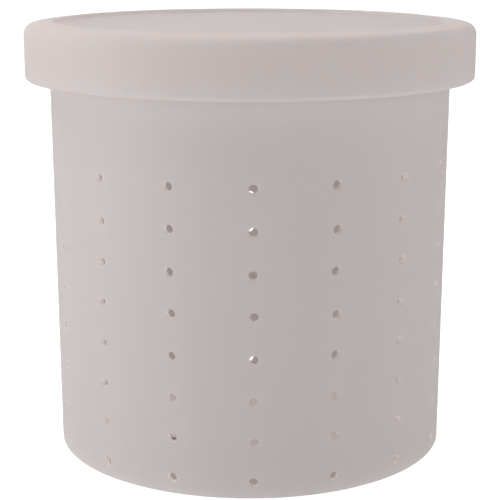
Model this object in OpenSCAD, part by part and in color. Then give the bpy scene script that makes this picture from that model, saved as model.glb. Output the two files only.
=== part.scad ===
// Cheese mould: a perforated, slightly tapered wall with a perforated floor in its foot and a flange
// round its mouth, a deep lid that rests on the flange, and the loose follower that presses the curd.
// Millimetres, +Z up. The origin is the centre of the foot, on the surface the mould stands on.

/* [Wall] */
// Outside diameter of the wall at its foot
foot_d = 185; // [165:0.5:195]
// Outside diameter of the wall where the taper ends
neck_d = 187.2; // [186:0.1:192]
// Height at which the taper ends and the wall goes on straight
neck_h = 174.6; // [165:0.1:180]
// Thickness of the wall
wall_t = 2.6; // [2:0.1:4]
// Radius of the edge round the outside of the foot
foot_round = 0.8; // [0.4:0.1:1.5]

/* [Drain holes in the wall] */
// Diameter of a drain hole
hole_d = 4; // [2:0.1:6]
// Number of columns of holes round the wall
hole_columns = 16; // [4:1:24]
// Number of holes in a column
hole_rows = 8; // [2:1:8]
// Height of the lowest row above the foot
first_row_h = 7.5; // [6.5:0.1:12]
// Height from one row to the next
row_pitch = 18.57; // [10:0.01:22]
// How far the columns are turned about the axis, in degrees
column_turn = 0.9; // [-11:0.1:11]
// How far the spacing of the columns has crept by the one opposite the first, in degrees
column_creep = 1; // [0:0.1:2]
// How far a hand-drilled hole wanders from its mark
drill_wander = 0.35; // [0:0.05:0.5]

/* [Rim] */
// Height of the top of the rim above the foot
rim_h = 197.9; // [195:0.1:198]
// Outside diameter of the flange that the lid rests on
flange_d = 202; // [196:0.5:202.5]
// Thickness of the flange
flange_t = 4; // [2.5:0.1:8]

/* [Lid] */
// Height of the top of the closed lid above the foot
mould_h = 201.3; // [201.2:0.1:210]
// Height of the lower edge of the closed lid's skirt above the foot
skirt_h = 174.6; // [165:0.1:185]
// Outside diameter of the lid
lid_d = 210; // [209.5:0.5:215]
// Thickness of the skirt
skirt_t = 3; // [2.5:0.1:3.2]
// Radius of the upper outer edge
lid_top_round = 5; // [2:0.1:6]
// Radius of the lower outer edge
lid_low_round = 2; // [0.5:0.1:2.4]
// How much the rim of the lid rises from its outer edge to its inner edge
lid_crown = 1; // [0:0.1:2]
// How far the panel in the middle lies below the top
panel_recess = 2; // [2:0.1:2.5]
// Thickness of the panel
panel_t = 3; // [2:0.1:6]

/* [Floor] */
// Thickness of the floor
floor_t = 2.8; // [2:0.1:3.2]
// Number of rings of drain holes round the centre hole
floor_rings = 5; // [1:1:5]
// Distance from one ring to the next
floor_ring_pitch = 15.5; // [8:0.5:16]

/* [Follower] */
// Outside diameter of the follower
follower_d = 178; // [160:0.5:179]
// Thickness of the follower at its edge
follower_edge_t = 2.6; // [2:0.1:3.6]
// Thickness of the plate inside the edge
plate_t = 3.8; // [3.7:0.1:6]
// Number of ribs, with a row of drain holes between each two
rib_count = 8; // [4:1:12]
// Thickness of a rib
rib_t = 3; // [2:0.1:5]
// Height of a rib above the underside where it meets the hub
rib_hub_h = 7.5; // [6:0.5:8]
// Height of the hub above the underside
hub_h = 15; // [14:0.5:18]
// Diameter of the grip and pressing face on top of the hub
grip_d = 42; // [36:1:60]
// Diameter of the hub below the grip
waist_d = 25; // [18:1:30]

/* [Hidden] */
$fn = 96;
PLASTIC = [0.87, 0.84, 0.83];
INNER_PLASTIC = [0.92, 0.90, 0.89];
JOIN_GAP = 0.05;             // play between pieces that are joined for good
REST_GAP = 0.1;              // daylight under a loose piece where it rests on another
PLUG_GAP = 0.4;              // play all round between the lid's panel and the mouth
CREST_ROUND = 0.6;           // radius of the inner edge of the lid's rim
SCATTER = [84, 57];          // degrees that spread the wander of the holes, the same at every build
EDGE_BAND = 5;               // width of the follower's thin edge
EDGE_BLEND = 4;              // width of the slope from the thin edge up to the plate
EDGE_ROUND = 0.8;            // radius of the follower's outer edges
GRIP_T = 4;                  // thickness of the grip
GRIP_ROUND = 1.5;            // radius of the grip's edges
HUB_FLARE = 2;               // size of the slope between the plate and the hub
GRIP_FLARE = 2;              // height of the slope between the hub and the grip
RIB_TIP = 0.6;               // height of a rib above the plate at its outer end
RIB_ROOT = 1;                // how far a rib is sunk into the plate and the hub
DRAIN_RINGS = [34, 50, 66];  // radii of the rings of drain holes in the follower
CUT = 1;                     // how far a drill reaches past each face of what it goes through

foot_r = foot_d / 2;
neck_r = neck_d / 2;
mouth_r = neck_r - wall_t;
flange_r = flange_d / 2;
lid_r = lid_d / 2;
floor_r = foot_r - wall_t - JOIN_GAP;
follower_r = follower_d / 2;
follower_z = floor_t + REST_GAP;
panel_z = mould_h - panel_recess;

// Direction of a column of holes, in degrees; the columns are indexed by hand, so their spacing creeps
function column_angle(column) =
    let (share = column / hole_columns)
    -90 + column_turn + 360 * share - column_creep * pow(sin(180 * share), 2);

// How far a drilled hole lies off its mark; two numbers i belong to each hole, one for each direction
function wander(i) = drill_wander * sin(SCATTER[0] * i * i + SCATTER[1] * i);

// A cylinder along +X from the axis, used to drill through the wall
module radial_drill(d, angle, z) {
    rotate([0, 0, angle]) translate([foot_r - 3 * wall_t, 0, z]) rotate([0, 90, 0])
        cylinder(d = d, h = 6 * wall_t);
}

// A drain hole straight down through a plate of thickness t
module drain_hole(t) {
    translate([0, 0, -CUT]) cylinder(d = hole_d, h = t + 2 * CUT);
}

// Thin tapered tube with its drain holes, straight at the top, with a flange round the mouth
module wall_shell() {
    color(PLASTIC) difference() {
        rotate_extrude() union() {
            polygon([
                [foot_r - wall_t, 0], [foot_r - foot_round, 0], [foot_r, foot_round],
                [neck_r, neck_h], [neck_r, rim_h - flange_t], [flange_r, rim_h - flange_t],
                [flange_r, rim_h], [mouth_r, rim_h], [mouth_r, neck_h]
            ]);
            translate([foot_r - foot_round, foot_round]) circle(foot_round);
        }
        for (column = [0 : hole_columns - 1], row = [0 : hole_rows - 1]) {
            index = 2 * (column * hole_rows + row);
            sideways = wander(index) / foot_r * 180 / PI;
            upwards = wander(index + 1);
            radial_drill(hole_d, column_angle(column) + sideways, first_row_h + row * row_pitch + upwards);
        }
    }
}

// Half section of the lid's outside, filled down to the lower edge of the skirt
module lid_outside() {
    crest_r = mouth_r + CREST_ROUND;
    edge_top = mould_h - lid_crown;
    polygon([
        [0, skirt_h], [lid_r - lid_low_round, skirt_h],
        [lid_r, skirt_h + lid_low_round], [lid_r, edge_top - lid_top_round],
        [lid_r - lid_top_round, edge_top], [crest_r, mould_h],
        [mouth_r, mould_h - CREST_ROUND], [mouth_r, panel_z], [0, panel_z]
    ]);
    translate([lid_r - lid_low_round, skirt_h + lid_low_round]) circle(lid_low_round);
    translate([lid_r - lid_top_round, edge_top - lid_top_round]) circle(lid_top_round);
    translate([crest_r, mould_h - CREST_ROUND]) circle(CREST_ROUND);
}

// Deep lid: the skirt hangs round the flange, and the sunken panel drops a little way into the mouth
module lid() {
    seat_z = rim_h + REST_GAP;
    plug_r = mouth_r - PLUG_GAP;
    skirt_r = lid_r - skirt_t;
    color(PLASTIC) rotate_extrude() difference() {
        union() lid_outside();
        polygon([
            [0, skirt_h - CUT], [skirt_r, skirt_h - CUT], [skirt_r, seat_z], [plug_r, seat_z],
            [plug_r, panel_z - panel_t], [0, panel_z - panel_t]
        ]);
    }
}

// Flat perforated disc joined into the foot of the wall
module floor_plate() {
    color(INNER_PLASTIC) difference() {
        cylinder(r = floor_r, h = floor_t);
        drain_hole(floor_t);
        for (ring = [1 : floor_rings], k = [0 : 6 * ring - 1])
            rotate([0, 0, column_turn + k * 60 / ring]) translate([ring * floor_ring_pitch, 0, 0])
                drain_hole(floor_t);
    }
}

// Half section of the follower's plate, hub and grip
module follower_section() {
    waist_r = waist_d / 2;
    grip_r = grip_d / 2;
    band_r = follower_r - EDGE_BAND;
    grip_z = hub_h - GRIP_T;
    polygon([
        [0, 0], [follower_r - EDGE_ROUND, 0], [follower_r, EDGE_ROUND],
        [follower_r, follower_edge_t - EDGE_ROUND], [follower_r - EDGE_ROUND, follower_edge_t],
        [band_r, follower_edge_t], [band_r - EDGE_BLEND, plate_t],
        [waist_r + HUB_FLARE, plate_t], [waist_r, plate_t + HUB_FLARE],
        [waist_r, grip_z - GRIP_FLARE], [grip_r - GRIP_ROUND, grip_z],
        [grip_r, grip_z + GRIP_ROUND], [grip_r, hub_h - GRIP_ROUND], [grip_r - GRIP_ROUND, hub_h],
        [0, hub_h]
    ]);
    translate([follower_r - EDGE_ROUND, EDGE_ROUND]) circle(EDGE_ROUND);
    translate([follower_r - EDGE_ROUND, follower_edge_t - EDGE_ROUND]) circle(EDGE_ROUND);
    translate([grip_r - GRIP_ROUND, grip_z + GRIP_ROUND]) circle(GRIP_ROUND);
    translate([grip_r - GRIP_ROUND, hub_h - GRIP_ROUND]) circle(GRIP_ROUND);
}

// Upright rib along +X, highest at the hub
module follower_rib() {
    hub_side = waist_d / 2;
    tip_r = follower_r - EDGE_BAND - EDGE_BLEND;
    translate([0, rib_t / 2, 0]) rotate([90, 0, 0]) linear_extrude(rib_t) polygon([
        [hub_side - RIB_ROOT, plate_t - RIB_ROOT], [tip_r, plate_t - RIB_ROOT],
        [tip_r, plate_t + RIB_TIP], [hub_side + HUB_FLARE, rib_hub_h], [hub_side - RIB_ROOT, rib_hub_h]
    ]);
}

// Loose pressing disc: thin at the edge, stiffened by ribs, with a hub to press on and to lift it by
module follower() {
    step = 360 / rib_count;
    color(INNER_PLASTIC) translate([0, 0, follower_z]) difference() {
        union() {
            rotate_extrude() union() follower_section();
            for (k = [0 : rib_count - 1]) rotate([0, 0, (k + 0.5) * step]) follower_rib();
        }
        for (r = DRAIN_RINGS, k = [0 : rib_count - 1])
            rotate([0, 0, k * step]) translate([r, 0, 0]) drain_hole(plate_t);
    }
}

wall_shell();
floor_plate();
lid();
follower();
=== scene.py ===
import math

import bpy
import numpy as np
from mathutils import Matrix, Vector


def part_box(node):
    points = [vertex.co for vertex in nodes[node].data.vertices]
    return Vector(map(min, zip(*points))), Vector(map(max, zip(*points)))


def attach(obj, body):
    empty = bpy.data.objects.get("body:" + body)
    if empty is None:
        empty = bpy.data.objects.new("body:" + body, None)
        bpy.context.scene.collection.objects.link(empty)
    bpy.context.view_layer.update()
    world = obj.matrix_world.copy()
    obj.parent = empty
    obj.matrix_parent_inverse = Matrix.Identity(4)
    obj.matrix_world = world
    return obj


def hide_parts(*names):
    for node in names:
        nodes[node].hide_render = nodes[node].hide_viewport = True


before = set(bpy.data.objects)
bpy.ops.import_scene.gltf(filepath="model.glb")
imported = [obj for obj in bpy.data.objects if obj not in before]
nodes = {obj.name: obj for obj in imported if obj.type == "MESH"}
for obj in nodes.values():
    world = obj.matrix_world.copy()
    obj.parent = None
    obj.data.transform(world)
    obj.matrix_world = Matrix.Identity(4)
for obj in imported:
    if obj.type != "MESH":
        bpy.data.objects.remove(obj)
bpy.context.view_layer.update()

MM = 0.001

# ---------------------------------------------------------------- sizes, from the frame or the CAD model
wall_box, lid_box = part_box("wall_shell"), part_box("lid")
lid_radius = (lid_box[1].x - lid_box[0].x) / 2
skirt_bottom = lid_box[0].z
mould_height = lid_box[1].z
flange_radius = (wall_box[1].x - wall_box[0].x) / 2
rim_top = wall_box[1].z

FOOT_RADIUS = 92.5 * MM
NECK_RADIUS = 93.6 * MM
NECK_HEIGHT = 174.6 * MM
WALL_THICKNESS = 2.6 * MM
MOUTH_RADIUS = NECK_RADIUS - WALL_THICKNESS
FOOT_ROUND = 0.8 * MM
FLANGE_THICKNESS = 4.0 * MM
HOLE_RADIUS = 2.0 * MM
HOLE_COLUMNS = 16
HOLE_ROWS = 8
FIRST_ROW = 7.5 * MM
ROW_PITCH = 18.57 * MM
COLUMN_TURN = math.radians(0.9)
COLUMN_CREEP = math.radians(1.0)
DRILL_WANDER = 0.35 * MM
SCATTER = (84, 57)
LID_TOP_ROUND = 5.0 * MM
LID_LOW_ROUND = 2.0 * MM
LID_CROWN = 1.0 * MM
CREST_ROUND = 0.6 * MM
SKIRT_THICKNESS = 3.0 * MM
PANEL_RECESS = 2.0 * MM
PANEL_THICKNESS = 3.0 * MM
PLUG_GAP = 0.4 * MM
REST_GAP = 0.1 * MM

# Roundings that the CAD model leaves sharp
FLANGE_ROOT_ROUND = 1.0 * MM
FLANGE_LOW_ROUND = 0.8 * MM
FLANGE_TOP_ROUND = 1.0 * MM
MOUTH_ROUND = 0.6 * MM
FOOT_INNER_ROUND = 0.3 * MM
HOLE_OUTER_ROUND = 0.30 * MM
HOLE_INNER_ROUND = 0.20 * MM
SKIRT_EDGE_ROUND = 0.5 * MM
SKIRT_ROOT_ROUND = 1.5 * MM
PLUG_EDGE_ROUND = 0.5 * MM
PLUG_ROOT_ROUND = 0.4 * MM
PANEL_ROUND = 0.4 * MM

WELD_STEP = 0.001 * MM    # points closer than this are one point


# ---------------------------------------------------------------- meshes with exact normals
class Skin:
    """Collects points with their true surface normals, and faces between them, and welds equal points."""

    def __init__(self):
        self.points, self.normals, self.faces = [], [], []

    def add(self, points, normals):
        start = len(self.points)
        self.points += [tuple(p) for p in points]
        self.normals += [tuple(n) for n in normals]
        return list(range(start, start + len(points)))

    def band(self, ring_a, ring_b):
        count = len(ring_a)
        for i in range(count):
            j = (i + 1) % count
            self.faces.append((ring_a[i], ring_a[j], ring_b[j], ring_b[i]))

    def build(self, name):
        points = np.array(self.points)
        keys = np.round(points / WELD_STEP).astype(np.int64)
        _, first, where = np.unique(keys, axis=0, return_index=True, return_inverse=True)
        where = where.ravel()
        normals = np.zeros((len(first), 3))
        np.add.at(normals, where, np.array(self.normals))
        normals /= np.linalg.norm(normals, axis=1)[:, None]
        faces = []
        for face in self.faces:
            welded = list(dict.fromkeys(int(where[i]) for i in face))
            if len(welded) > 2:
                faces.append(welded)
        mesh = bpy.data.meshes.new(name)
        mesh.from_pydata(points[first].tolist(), [], faces)
        mesh.validate()
        mesh.polygons.foreach_set("use_smooth", [True] * len(mesh.polygons))
        mesh.normals_split_custom_set_from_vertices(normals.tolist())
        mesh.update()
        piece = bpy.data.objects.new(name, mesh)
        bpy.context.scene.collection.objects.link(piece)
        return piece


def rounded_outline(corners, steps=8):
    """An open outline of (r, z, fillet) corners, solid on its left, as points and outward normals."""
    points, normals = [], []
    last = len(corners) - 1
    for i, (r, z, fillet) in enumerate(corners):
        here = np.array([r, z])
        if i in (0, last):
            run = np.array(corners[1][:2]) - here if i == 0 else here - np.array(corners[-2][:2])
            run = run / np.linalg.norm(run)
            points.append(here)
            normals.append(np.array([run[1], -run[0]]))
            continue
        before = np.array(corners[i - 1][:2]) - here
        after = np.array(corners[i + 1][:2]) - here
        before, after = before / np.linalg.norm(before), after / np.linalg.norm(after)
        half = math.acos(np.clip(before @ after, -1, 1)) / 2
        reach = fillet / math.tan(half)
        centre = here + (before + after) / np.linalg.norm(before + after) * fillet / math.sin(half)
        start, end = here + before * reach - centre, here + after * reach - centre
        turn = before[0] * after[1] - before[1] * after[0]
        outward = -1 if turn > 0 else 1
        sweep = math.pi - 2 * half
        for k in range(steps + 1):
            t = k / steps
            arm = (math.sin((1 - t) * sweep) * start + math.sin(t * sweep) * end) / math.sin(sweep)
            points.append(centre + arm)
            normals.append(arm / np.linalg.norm(arm) * outward)
    return points, normals


def arc(r, z, radius, start, end, steps=5):
    """Points of a fillet about (r, z) with their normals, between two angles in degrees."""
    turns = [math.radians(start + (end - start) * k / steps) for k in range(steps + 1)]
    return [(r + radius * math.cos(t), z + radius * math.sin(t), math.cos(t), math.sin(t)) for t in turns]


def lathe(name, corners, segments=192, steps=8):
    """A solid of revolution about Z from an outline that starts and ends on the axis."""
    outline, outline_normals = rounded_outline(corners, steps)
    skin, rings = Skin(), []
    turns = np.arange(segments) * 2 * math.pi / segments
    for (r, z), (nr, nz) in zip(outline, outline_normals):
        rings.append(skin.add(
            [(r * math.cos(a), r * math.sin(a), z) for a in turns],
            [(nr * math.cos(a), nr * math.sin(a), nz) for a in turns],
        ))
    for low, high in zip(rings, rings[1:]):
        skin.band(low, high)
    return skin.build(name)


# ---------------------------------------------------------------- the drilled wall
def outer_radius(z):
    return FOOT_RADIUS + (NECK_RADIUS - FOOT_RADIUS) * min(z, NECK_HEIGHT) / NECK_HEIGHT


def inner_radius(z):
    return outer_radius(z) - WALL_THICKNESS


def column_angle(column):
    """Direction of a column of holes: evenly indexed, but for a slow creep away from the first."""
    share = column / HOLE_COLUMNS
    return -math.pi / 2 + COLUMN_TURN + 2 * math.pi * share - COLUMN_CREEP * math.sin(math.pi * share) ** 2


def wander(i):
    """How far a drilled hole lies off its mark, by the same rule as in the CAD model."""
    return DRILL_WANDER * math.sin(math.radians(SCATTER[0] * i * i + SCATTER[1] * i))


SIDE_STEPS, END_STEPS = 10, 6          # steps along a hole cell's long and short edges
CELL_POINTS = 2 * (SIDE_STEPS + END_STEPS)
EDGE_STEPS = 3                         # steps round the edge of a drilled hole


def cell_border(a0, a1, z0, z1):
    """Points round a cell's border, anticlockwise from the middle of its high-angle edge."""
    half_end = END_STEPS // 2
    zs = [z0 + (z1 - z0) * k / END_STEPS for k in range(END_STEPS + 1)]
    angles = [a0 + (a1 - a0) * k / SIDE_STEPS for k in range(SIDE_STEPS + 1)]
    border = [(a1, z) for z in zs[half_end:END_STEPS]]
    border += [(a, z1) for a in angles[:0:-1]]
    border += [(a0, z) for z in zs[:0:-1]]
    border += [(a, z0) for a in angles[:SIDE_STEPS]]
    border += [(a1, z) for z in zs[:half_end]]
    return border


def on_surface(angle, z, radius, side):
    """Point and normal on the wall's outer (side 1) or inner (side -1) face."""
    slope = (NECK_RADIUS - FOOT_RADIUS) / NECK_HEIGHT if z < NECK_HEIGHT else 0.0
    r = radius(z)
    normal = Vector((math.cos(angle), math.sin(angle), -slope)).normalized() * side
    return (r * math.cos(angle), r * math.sin(angle), z), tuple(normal)


def hole_ring(centre_angle, centre_z, ring_radius, depth, radius, side, share):
    """A ring of points round a radial hole; share is 0 on the wall's face and 1 on the hole's own wall."""
    out = Vector((math.cos(centre_angle), math.sin(centre_angle), 0))
    along = Vector((-math.sin(centre_angle), math.cos(centre_angle), 0))
    points, normals = [], []
    for k in range(CELL_POINTS):
        t = 2 * math.pi * k / CELL_POINTS
        x, z = ring_radius * math.cos(t), centre_z + ring_radius * math.sin(t)
        reach = math.sqrt(radius(z) ** 2 - x * x) - side * depth
        point = out * reach + along * x + Vector((0, 0, z))
        _, face_normal = on_surface(math.atan2(point.y, point.x), z, radius, side)
        hole_normal = -(along * math.cos(t) + Vector((0, 0, math.sin(t))))
        turn = share * math.pi / 2
        normal = Vector(face_normal) * math.cos(turn) + hole_normal * math.sin(turn)
        points.append(tuple(point))
        normals.append(tuple(normal.normalized()))
    return points, normals


def wall_face(skin, radius, side, edge):
    """One face of the wall in cells, a hole in each; returns the holes' innermost rings."""
    mouths = []
    cell_angle = 2 * math.pi / HOLE_COLUMNS
    floors = [FOOT_ROUND] + [FIRST_ROW + (k + 0.5) * ROW_PITCH for k in range(HOLE_ROWS)]
    for column in range(HOLE_COLUMNS):
        mark = -math.pi / 2 + COLUMN_TURN + column * cell_angle
        for row in range(HOLE_ROWS):
            index = 2 * (column * HOLE_ROWS + row)
            angle = column_angle(column) + wander(index) / FOOT_RADIUS
            z = FIRST_ROW + row * ROW_PITCH + wander(index + 1)
            border = cell_border(mark - cell_angle / 2, mark + cell_angle / 2, floors[row], floors[row + 1])
            pairs = [on_surface(a, h, radius, side) for a, h in border]
            rings = [skin.add(*zip(*pairs))]
            rim = []
            for k in range(CELL_POINTS):
                t = 2 * math.pi * k / CELL_POINTS
                sideways = (HOLE_RADIUS + edge) * math.cos(t)
                upwards = (HOLE_RADIUS + edge) * math.sin(t)
                rim.append((angle + math.asin(sideways / radius(z)), z + upwards))
            for share in (0.45, 0.8):
                between = [(b[0] + (r[0] - b[0]) * share, b[1] + (r[1] - b[1]) * share)
                           for b, r in zip(border, rim)]
                pairs = [on_surface(a, h, radius, side) for a, h in between]
                rings.append(skin.add(*zip(*pairs)))
            for k in range(EDGE_STEPS + 1):
                share = k / EDGE_STEPS
                turn = share * math.pi / 2
                rings.append(skin.add(*hole_ring(
                    angle, z, HOLE_RADIUS + edge * (1 - math.sin(turn)), edge * (1 - math.cos(turn)),
                    radius, side, share)))
            for a, b in zip(rings, rings[1:]):
                skin.band(a, b) if side > 0 else skin.band(b, a)
            mouths.append(rings[-1])
    return mouths


def make_wall():
    skin = Skin()
    outer = wall_face(skin, outer_radius, 1, HOLE_OUTER_ROUND)
    inner = wall_face(skin, inner_radius, -1, HOLE_INNER_ROUND)
    for a, b in zip(outer, inner):
        skin.band(a, b)

    # Plain rings above and below the holes, on the same angles as the cells' borders
    cell_angle = 2 * math.pi / HOLE_COLUMNS
    first = -math.pi / 2 + COLUMN_TURN - cell_angle / 2
    angles = [first + k * cell_angle / SIDE_STEPS for k in range(HOLE_COLUMNS * SIDE_STEPS)]

    def ring(r, z, nr, nz):
        return skin.add([(r * math.cos(a), r * math.sin(a), z) for a in angles],
                        [(nr * math.cos(a), nr * math.sin(a), nz) for a in angles])

    drilled_top = FIRST_ROW + (HOLE_ROWS - 0.5) * ROW_PITCH
    flange_bottom = rim_top - FLANGE_THICKNESS
    levels = [drilled_top + (NECK_HEIGHT - drilled_top) * k / 3 for k in range(4)]
    points, normals = rounded_outline([
        (NECK_RADIUS, NECK_HEIGHT, 0),
        (NECK_RADIUS, flange_bottom, FLANGE_ROOT_ROUND),
        (flange_radius, flange_bottom, FLANGE_LOW_ROUND),
        (flange_radius, rim_top, FLANGE_TOP_ROUND),
        (MOUTH_RADIUS, rim_top, MOUTH_ROUND),
        (MOUTH_RADIUS, NECK_HEIGHT, 0),
    ], steps=5)
    outline = [(outer_radius(z), z, 1, 0) for z in levels[:-1]]
    outline += [(*point, *normal) for point, normal in zip(points, normals)]
    outline += [(inner_radius(z), z, -1, 0) for z in levels[-2::-1]]
    rings = [ring(*p) for p in outline]
    for a, b in zip(rings, rings[1:]):
        skin.band(a, b)

    foot_inner = inner_radius(FOOT_ROUND)
    outline = [(foot_inner, FOOT_ROUND, -1, 0)]
    outline += arc(foot_inner + FOOT_INNER_ROUND, FOOT_INNER_ROUND, FOOT_INNER_ROUND, 180, 270)
    outline += arc(FOOT_RADIUS - FOOT_ROUND, FOOT_ROUND, FOOT_ROUND, 270, 360)
    outline[-1] = (outer_radius(FOOT_ROUND), FOOT_ROUND, 1, 0)
    rings = [ring(*p) for p in outline]
    for a, b in zip(rings, rings[1:]):
        skin.band(a, b)
    return skin.build("drilled_wall")


# ---------------------------------------------------------------- the lid
def make_lid():
    """Deep lid with a thin skirt, a rounded rim and a sunken panel, as one turned outline."""
    panel_top = mould_height - PANEL_RECESS
    panel_low = panel_top - PANEL_THICKNESS
    plug_radius = MOUTH_RADIUS - PLUG_GAP
    skirt_inner = lid_radius - SKIRT_THICKNESS
    seat = rim_top + REST_GAP
    edge_top = mould_height - LID_CROWN

    # The rim's top face is the straight line that touches the roundings on both of its sides
    run = lid_radius - LID_TOP_ROUND - MOUTH_RADIUS - CREST_ROUND
    rise = (mould_height - CREST_ROUND) - (edge_top - LID_TOP_ROUND)
    tilt = math.atan2(rise, run) - math.asin((LID_TOP_ROUND - CREST_ROUND) / math.hypot(run, rise))
    edge_corner = edge_top + LID_TOP_ROUND * (1 / math.cos(tilt) - 1 - math.tan(tilt))
    crest_corner = mould_height + CREST_ROUND * (1 / math.cos(tilt) - 1 + math.tan(tilt))
    return lathe("deep_lid", [
        (0, panel_low, 0),
        (plug_radius, panel_low, PLUG_EDGE_ROUND),
        (plug_radius, seat, PLUG_ROOT_ROUND),
        (skirt_inner, seat, SKIRT_ROOT_ROUND),
        (skirt_inner, skirt_bottom, SKIRT_EDGE_ROUND),
        (lid_radius, skirt_bottom, LID_LOW_ROUND),
        (lid_radius, edge_corner, LID_TOP_ROUND),
        (MOUTH_RADIUS, crest_corner, CREST_ROUND),
        (MOUTH_RADIUS, panel_top, PANEL_ROUND),
        (0, panel_top, 0),
    ], segments=256, steps=10)


# ---------------------------------------------------------------- materials
MILK = (0.985, 0.945, 0.935)
WALL_MILK = (0.985, 0.941, 0.930)
HOLE_PAINTED_LIGHT = 1.28      # painted light: how much brighter the sides of the holes are painted than the outside of the wall
INSIDE_PAINTED_SHADE = 0.87    # painted shade: how much of the outside's tone is painted on the inside of the wall
MID_WALL = (FOOT_RADIUS + NECK_RADIUS - WALL_THICKNESS) / 2


class Nodes:
    """A small helper for writing node trees."""

    def __init__(self, owner, output="ShaderNodeOutputMaterial"):
        owner.use_nodes = True
        self.tree = owner.node_tree
        self.tree.nodes.clear()
        self.output = self.tree.nodes.new(output)

    def add(self, kind, inputs=(), **values):
        node = self.tree.nodes.new(kind)
        for name, value in values.items():
            setattr(node, name, value)
        for name, value in dict(inputs).items():
            if isinstance(value, bpy.types.NodeSocket):
                self.tree.links.new(value, node.inputs[name])
            else:
                node.inputs[name].default_value = value
        return node


def painted_hole_light_and_inside_shade(n, place):
    """Painted light and shade in the wall's tone: brighter on the sides of the holes, darker on the inside,
    1 on the outside.

    The brighter sides are painted light that stands for light travelling sideways inside the plastic and
    coming out of the sides of the holes; the darker inside is painted shade.
    """
    outward = n.add("ShaderNodeVectorMath", {
        0: place, 1: (1, 1, 0)}, operation="MULTIPLY").outputs["Vector"]
    radius = n.add("ShaderNodeVectorMath", {0: outward}, operation="LENGTH").outputs["Value"]
    # painted shade: the inside face of the wall gets a darker tone than the outside
    face = n.add("ShaderNodeMapRange", {
        "Value": radius, "From Min": MID_WALL - 0.2 * MM, "From Max": MID_WALL + 0.2 * MM,
        "To Min": INSIDE_PAINTED_SHADE, "To Max": 1.0}).outputs["Result"]
    radial = n.add("ShaderNodeVectorMath", {0: outward}, operation="NORMALIZE").outputs["Vector"]
    facing = n.add("ShaderNodeTexCoord").outputs["Normal"]
    along = n.add("ShaderNodeVectorMath", {0: facing, 1: radial}, operation="DOT_PRODUCT").outputs["Value"]
    squareness = n.add("ShaderNodeMath", {0: along}, operation="ABSOLUTE").outputs["Value"]
    # painted light: the sides of the holes get a brighter tone than the faces of the wall
    return n.add("ShaderNodeMapRange", {
        "Value": squareness, "From Min": 0.3, "From Max": 0.8,
        "To Min": HOLE_PAINTED_LIGHT, "To Max": face}).outputs["Result"]


def milky_plastic(name, tint, see_through, grain_seed, drilled=False):
    """Satin, milky plastic that lets a share of the light through, with mottling, grain and scuffs; with
    drilled set, its tone also carries painted light on the sides of the holes and painted shade on the
    inside.
    """
    material = bpy.data.materials.new(name)
    n = Nodes(material)
    place = n.add("ShaderNodeTexCoord").outputs["Object"]
    offset = n.add("ShaderNodeMapping", {
        "Vector": place, "Location": (grain_seed, 0.37 * grain_seed, 0)}).outputs["Vector"]
    cloud = n.add("ShaderNodeTexNoise", {"Vector": offset, "Scale": 14.0, "Detail": 3.0, "Roughness": 0.5})
    tone = n.add("ShaderNodeMixRGB", {
        "Fac": cloud.outputs["Fac"],
        "Color1": (*[c * 0.99 for c in tint], 1),
        "Color2": (*[min(1, c * 1.01) for c in tint], 1)}).outputs["Color"]
    if drilled:
        # painted light and shade: the tone is scaled up on the sides of the holes and down on the inside of
        # the wall
        painted_light_and_shade = painted_hole_light_and_inside_shade(n, place)
        tone = n.add("ShaderNodeVectorMath", {0: tone, "Scale": painted_light_and_shade}, operation="SCALE").outputs["Vector"]
    scuff_map = n.add("ShaderNodeMapping", {
        "Vector": offset, "Scale": (160.0, 160.0, 900.0)}).outputs["Vector"]
    scuff = n.add("ShaderNodeTexNoise", {"Vector": scuff_map, "Scale": 1.0, "Detail": 2.0})
    sheen = n.add("ShaderNodeMapRange", {
        "Value": scuff.outputs["Fac"], "From Min": 0.3, "From Max": 0.7, "To Min": 0.42, "To Max": 0.52})
    grain = n.add("ShaderNodeTexNoise", {"Vector": offset, "Scale": 900.0, "Detail": 2.0})
    ripple = n.add("ShaderNodeTexNoise", {"Vector": offset, "Scale": 45.0, "Detail": 1.0})
    grain_bump = n.add("ShaderNodeBump", {
        "Height": grain.outputs["Fac"], "Strength": 0.10, "Distance": 0.0002})
    bump = n.add("ShaderNodeBump", {
        "Height": ripple.outputs["Fac"], "Strength": 0.10, "Distance": 0.0006,
        "Normal": grain_bump.outputs["Normal"]}).outputs["Normal"]
    surface = n.add("ShaderNodeBsdfPrincipled", {
        "Base Color": tone, "Roughness": sheen.outputs["Result"], "Normal": bump, "IOR": 1.49})
    body = n.add("ShaderNodeBsdfTranslucent", {"Color": tone, "Normal": bump})
    both = n.add("ShaderNodeMixShader", {
        0: see_through, 1: surface.outputs["BSDF"], 2: body.outputs["BSDF"]})
    n.tree.links.new(both.outputs["Shader"], n.output.inputs["Surface"])
    return material


def paint(piece, material):
    piece.data.materials.clear()
    piece.data.materials.append(material)


# ---------------------------------------------------------------- the object
wall = make_wall()
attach(wall, "mould")
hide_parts("wall_shell")
paint(wall, milky_plastic("wall_plastic", WALL_MILK, see_through=0.40, grain_seed=0.0, drilled=True))

lid = make_lid()
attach(lid, "lid")
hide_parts("lid")
paint(lid, milky_plastic("lid_plastic", MILK, see_through=0.52, grain_seed=3.1))

paint(nodes["floor_plate"], milky_plastic("floor_plastic", MILK, see_through=0.15, grain_seed=5.3))
paint(nodes["follower"], milky_plastic("follower_plastic", MILK, see_through=0.05, grain_seed=7.7))


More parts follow.
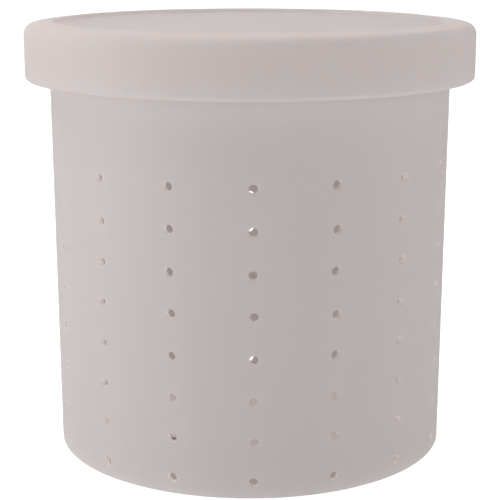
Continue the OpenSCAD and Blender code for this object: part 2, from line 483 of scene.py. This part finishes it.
# ---------------------------------------------------------------- floor, lights, camera
FLOOR_SIZE = 42.0
FLOOR_GLOW = 0.52
FLOOR_WHITE = 0.7      # what the camera sees on top of the glow
SKY_STRENGTH = 0.78
LAMP_SIZE = 0.7
LAMPS = [              # name, azimuth, elevation, distance, power
    ("key_left", -75, 8, 1.0, 3.26),
    ("side_right", 90, 25, 1.0, 1.29),
    ("low_right", 75, 15, 1.0, 0.33),
    ("front_right", 20, 10, 1.0, 1.6),
    ("low_front_left", -40, 4, 1.0, 0.36),
    ("top", 0, 89, 0.9, 1.94),
    ("top_left", -90, 60, 0.9, 2.24),
    ("back", 180, 40, 1.0, 0.64),
]
CAMERA_BACK, CAMERA_UP = 6.3257, 2.3023      # in radii of the lid
CAMERA_PITCH = 12.842
CAMERA_LENS = 101.0


def make_floor():
    """Plain table that glows, as under a product shot on white; the camera sees it as pure white."""
    bpy.ops.mesh.primitive_plane_add(size=FLOOR_SIZE)
    ground = bpy.context.object
    ground.name = "studio_floor"
    material = bpy.data.materials.new("studio_white")
    n = Nodes(material)
    diffuse = n.add("ShaderNodeBsdfDiffuse", {"Color": (0.3, 0.3, 0.3, 1)})
    seen = n.add("ShaderNodeLightPath").outputs["Is Camera Ray"]
    level = n.add("ShaderNodeMath", {0: seen, 1: FLOOR_WHITE, 2: FLOOR_GLOW}, operation="MULTIPLY_ADD")
    glow = n.add("ShaderNodeEmission", {"Strength": level.outputs["Value"]})
    both = n.add("ShaderNodeAddShader", {0: diffuse.outputs["BSDF"], 1: glow.outputs["Emission"]})
    n.tree.links.new(both.outputs["Shader"], n.output.inputs["Surface"])
    ground.data.materials.append(material)


def make_world():
    """Soft studio surround, bright behind the mould and dark in front; the camera sees it as pure white."""
    world = bpy.data.worlds.new("studio")
    bpy.context.scene.world = world
    n = Nodes(world, "ShaderNodeOutputWorld")
    direction = n.add("ShaderNodeTexCoord").outputs["Generated"]
    behind = n.add("ShaderNodeVectorMath", {
        0: direction, 1: (0, 1, 0)}, operation="DOT_PRODUCT").outputs["Value"]
    lobe = n.add("ShaderNodeMath", {0: behind, 1: 0.0}, operation="MAXIMUM").outputs["Value"]
    seen = n.add("ShaderNodeLightPath").outputs["Is Camera Ray"]
    level = n.add("ShaderNodeMath", {
        0: lobe, 1: SKY_STRENGTH, 2: seen}, operation="MULTIPLY_ADD").outputs["Value"]
    background = n.add("ShaderNodeBackground", {"Color": (1, 1, 1, 1), "Strength": level})
    n.tree.links.new(background.outputs["Background"], n.output.inputs["Surface"])


def make_light(name, azimuth, elevation, distance, power, size=LAMP_SIZE, shape="SQUARE"):
    """A soft light aimed along the line to the mould's middle; azimuth 0 is the front, 90 the right."""
    light = bpy.data.lights.new(name, "AREA")
    light.shape = shape
    light.size = size
    light.energy = power
    lamp = bpy.data.objects.new(name, light)
    a, e = math.radians(azimuth), math.radians(elevation)
    away = Vector((math.sin(a) * math.cos(e), -math.cos(a) * math.cos(e), math.sin(e)))
    lamp.location = away * distance + Vector((0, 0, mould_height / 2))
    lamp.rotation_euler = away.to_track_quat("Z", "Y").to_euler()
    lamp.visible_camera = False
    bpy.context.scene.collection.objects.link(lamp)
    return lamp


def make_inside_light():
    """A weak lamp inside, 40 mm below the middle, that shines down on the follower."""
    lamp = make_light("inside_low", 0, 89.9, -0.04, 0.011, size=0.165, shape="DISK")
    lamp.data.spread = math.radians(60)


def make_camera():
    """The photograph's viewpoint: a long lens a little above the rim, on the front."""
    data = bpy.data.cameras.new("camera")
    data.sensor_width = 36.0
    data.lens = CAMERA_LENS
    camera = bpy.data.objects.new("camera", data)
    camera.location = (0, -CAMERA_BACK * lid_radius, CAMERA_UP * lid_radius)
    camera.rotation_euler = (math.radians(90 - CAMERA_PITCH), 0, 0)
    bpy.context.scene.collection.objects.link(camera)
    bpy.context.scene.camera = camera


make_floor()
make_world()
for lamp_values in LAMPS:
    make_light(*lamp_values)
make_inside_light()
make_camera()
bpy.context.scene.view_settings.view_transform = "Standard"
